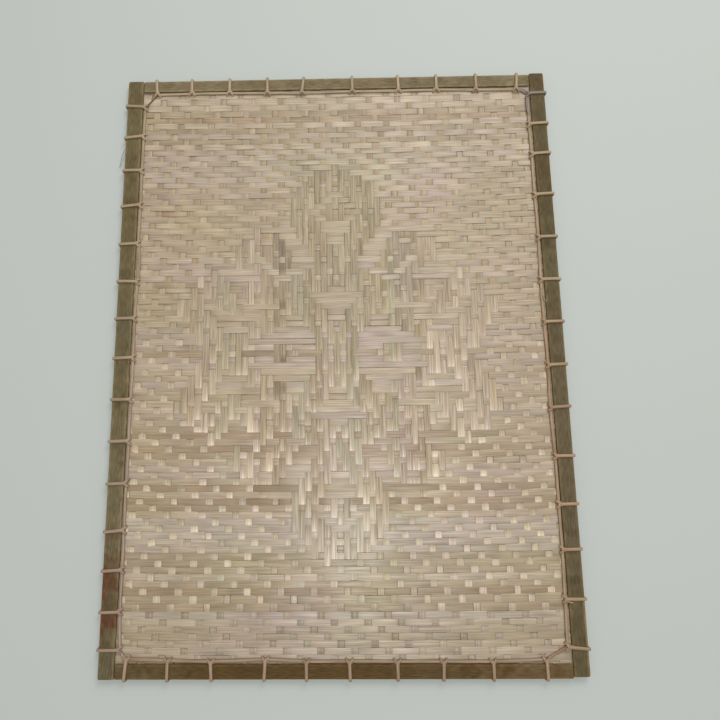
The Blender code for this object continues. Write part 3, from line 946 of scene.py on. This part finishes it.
# %% Follow a soft path
def smooth_path(points, step):
    """Points along a soft line through the given ones, about one step apart."""
    path = []
    for i in range(len(points) - 1):
        before, a, b = points[max(i - 1, 0)], points[i], points[i + 1]
        after = points[min(i + 2, len(points) - 1)]
        count = max(1, round((b - a).length / step))
        for k in range(count):
            s = k / count
            soft = s * (1 - s) * 0.5
            bend = ((b - before) * (1 - s) - (after - a) * s) * soft
            path.append(a + (b - a) * s + bend - (b - a) * (soft * (1 - 2 * s)))
    return path + [points[-1]]


def lay(path, width, thick, up=Vector((0, 0, 1))):
    """Stations for a strand along a path. up is roughly where its domed face looks."""
    stations = []
    for i, point in enumerate(path):
        ahead = (path[min(i + 1, len(path) - 1)] - path[max(i - 1, 0)]).normalized()
        sideways = up.cross(ahead).normalized()
        stations.append((point, -sideways * width, ahead.cross(sideways) * thick))
    return stations


def on_side(side, at, out, height):
    """A point by its place along the side, its distance out from the slat's inner edge and its height."""
    u = at * MM - half_sizes(side)[0]
    return Vector((u, inner_edge(side, u) + out * MM, height * MM))


print("a loose end starts at", [round(v, 4) for v in on_side("top", 20.5, -1.2, 4.6)])

# %% [markdown]
# ## A stitch
#
# At each stitch the cane goes over the slat, round its outer edge, back under the panel and up again beside
# the run. It is tied down there by two short ends that part like the legs of a Y, with one turn that binds
# them. A true knot could be drawn as one long cane, but only these lengths show, so each is a strand of its
# own.

# %% Bend the loop, the legs and the turn
LOOP_RADIUS, ARC_RINGS, TABLE_GAP = 1.1 * MM, 6, 0.02 * MM
LEG_START = 0.8 * MM  # past the slat's inner edge
LEG = ((0.6, 1.0, 5.2), (1.2, -0.2, 5.0), (1.95, -1.3, 4.2), (2.2, -1.8, 2.5))
KNOT_TURN = ((-1.9, 0.9, 3.6), (-1.2, 0.6, 5.1), (0.0, 0.0, 5.7), (1.2, -0.6, 5.1), (1.9, -0.9, 3.6))


def stitch_loop(u, lean, inner, outer):
    """A closed loop in an upright plane: over the slat, round it, back under the panel and up through it."""
    place = Matrix.Translation((u, inner, 0)) @ Matrix.Rotation(-math.atan2(lean, outer - inner), 4, "Z")
    turn = place.to_3x3()
    reach = outer + GAP + CANE_THICK / 2 - inner - LOOP_RADIUS
    low, high = CANE_THICK / 2 + TABLE_GAP + LOOP_RADIUS, MAT_TOP - CANE_THICK / 2 - LOOP_RADIUS
    stations = []
    for v, z, first in ((reach, high, 90), (reach, low, 0), (LOOP_RADIUS, low, -90), (LOOP_RADIUS, high, -180)):
        for step in range(ARC_RINGS):
            angle = math.radians(first - 90 * step / (ARC_RINGS - 1))
            out = Vector((0, math.cos(angle), math.sin(angle)))
            middle = Vector((0, v, z)) + out * LOOP_RADIUS
            stations.append((place @ middle, turn @ Vector((-CANE_WIDTH, 0, 0)), turn @ out * CANE_THICK))
    return stations


def tie_leg(u, run_v, inner, hand):
    """One leg of the knot's Y: from the stitch's foot over the run and down into the panel."""
    points = [(0.1, inner - run_v + LEG_START, 5.3 * MM)] + [(out, v * MM, z * MM) for out, v, z in LEG]
    return [Vector((u + hand * out * MM, run_v + v, z)) for out, v, z in points]


def knot_turn(u, run_v, hand):
    """The turn that binds the knot: a short length that crosses over the run at a slant."""
    return [Vector((u + hand * out * MM, run_v + v * MM, z * MM)) for out, v, z in KNOT_TURN]


print("a loop has", 4 * ARC_RINGS, "rings")

# %% [markdown]
# ## The lashing
#
# A side's cane is its run, its stitches, any second run and loose ends, and a length that turns the corner
# to the next side. They could be separate pieces, but they are one lashing on the real mat, so they are
# joined.

# %% Make the parts of a lashing
def lay_run(bm, side, points):
    run, half = lay(smooth_path(points, 3 * MM), CANE_WIDTH, CANE_THICK), half_sizes(side)[0]
    lights = [0.95 + 0.2 * noise.noise(middle / 0.009) for middle, _, _ in run]
    tones = [cane_tone(side, (station[0].x + half) / MM, light) for station, light in zip(run, lights)]
    strand(bm, run, CANE_OUTLINE, tones, shade=CANE_SHADE_AND_HIGHLIGHT)


def lay_stitch(bm, side, number, u, lean, run_v):
    own = cane_tone(side, (u + half_sizes(side)[0]) / MM, rng.uniform(0.94, 1.14))
    loop = stitch_loop(u, lean, run_v, outer_edge(side, u))
    strand(bm, loop, CANE_OUTLINE, own, closed=True, offset=number * 0.013)
    # The legs are painted a little darker and the turn over them a little lighter, as painted shade and light.
    for hand in (-1, 1):
        path = smooth_path(tie_leg(u, run_v, inner_edge(side, u), hand), 0.5 * MM)
        leg = lay(path, 1.6 * MM, 0.9 * MM, Vector((0, -0.3, 1)))
        strand(bm, leg, CANE_OUTLINE, shaded(own, 0.97), offset=number * 0.017 + hand, shade=CANE_SHADE_AND_HIGHLIGHT)
    turn = lay(smooth_path(knot_turn(u, run_v, rng.choice((-1, 1))), 0.5 * MM), 1.3 * MM, 0.8 * MM)
    strand(bm, turn, CANE_OUTLINE, shaded(own, 1.03), offset=number * 0.019 + 4, shade=CANE_SHADE_AND_HIGHLIGHT)


def lay_extras(bm, side):
    """The side's second runs and loose ends."""
    height = RUN_LEVEL / MM + 0.3
    for first, last, further, tone in SECOND_RUNS.get(side, ()):
        places = ((first, 0.4), ((first + last) / 2, 1.4), (last, 0.4))
        path = smooth_path([on_side(side, at, -(further + more), height) for at, more in places], 2 * MM)
        strand(bm, lay(path, 1.5 * MM, CANE_THICK * 0.8), CANE_OUTLINE, tone, offset=5, shade=CANE_SHADE_AND_HIGHLIGHT)
    for points, width, tone in WISPS.get(side, ()):
        path = smooth_path([on_side(side, *point) for point in points], 0.6 * MM)
        strand(bm, lay(path, width * MM, 0.5 * width * MM), CANE_OUTLINE, tone, offset=6)


def turn_corner(bm, side, start):
    """The length from this side's last stitch to the next side's first."""
    after = next_side(side)
    u, _, run_v = next(stitches(after))
    end = turned(side).inverted() @ turned(after) @ Vector((u, run_v, RUN_LEVEL))
    width, tone, bulge = CORNER_CANE[side]
    for number in range(CORNER_STRANDS.get(side, 1)):
        shift = Vector((number * 1.1 * MM, number * 0.7 * MM, number * 0.2 * MM))
        middle = (start + end) / 2 + Vector((bulge, bulge, 0.2)) * MM + shift
        path = smooth_path([start + shift * 0.5, middle, end + shift * 0.5], 2 * MM)
        corner = lay(path, width * MM, CANE_THICK * 0.8)
        strand(bm, corner, CANE_OUTLINE, tone, offset=2 + number, shade=CANE_SHADE_AND_HIGHLIGHT)


# %% Lash the slats on
for side in ORDER:
    bm, places = new_shape(), list(stitches(side))
    points = [Vector((u, v, RUN_LEVEL)) for u, _, v in places]
    lay_run(bm, side, points)
    for number, (u, lean, run_v) in enumerate(places):
        lay_stitch(bm, side, number, u, lean, run_v)
    lay_extras(bm, side)
    turn_corner(bm, side, points[-1])
    bm.transform(turned(side))
    piece = finished("cane_" + side, bm, cane)
    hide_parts("lashing_" + side)
